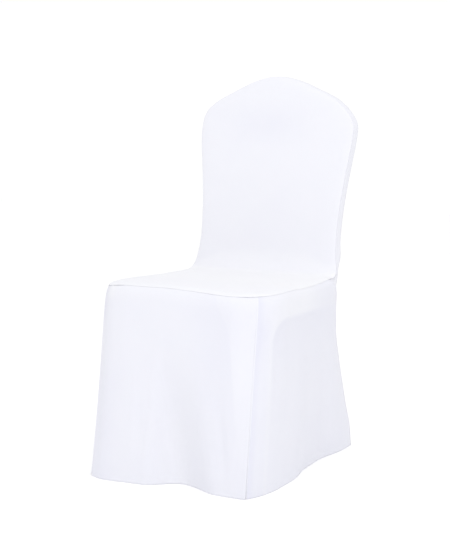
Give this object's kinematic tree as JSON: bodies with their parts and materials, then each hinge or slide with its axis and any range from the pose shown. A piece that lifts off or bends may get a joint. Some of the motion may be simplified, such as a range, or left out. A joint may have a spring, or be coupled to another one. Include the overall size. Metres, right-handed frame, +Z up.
{
  "type": "chair cover",
  "caption": "Fitted stretch-cloth cover for a banquet chair, with a rounded back, a seat sewn to a floor-length skirt and inverted pleats at the front corners.",
  "frame": {"origin": "on the floor, under the middle of the cover's footprint", "axes": "+Z up, -Y towards the front of the chair, +X to the right of someone who looks at its front"},
  "size_m": [0.4982, 0.5977, 0.9521],
  "materials": {
    "back_seat_panel": "matt stretch knit",
    "back_boxing": "matt stretch knit",
    "outside_back": "matt stretch knit",
    "skirt": "matt stretch knit"
  },
  "bodies": {
    "root": {"back_seat_panel": "back_seat_panel", "back_boxing": "back_boxing", "outside_back": "outside_back", "skirt": "skirt"}
  },
  "joints": []
}
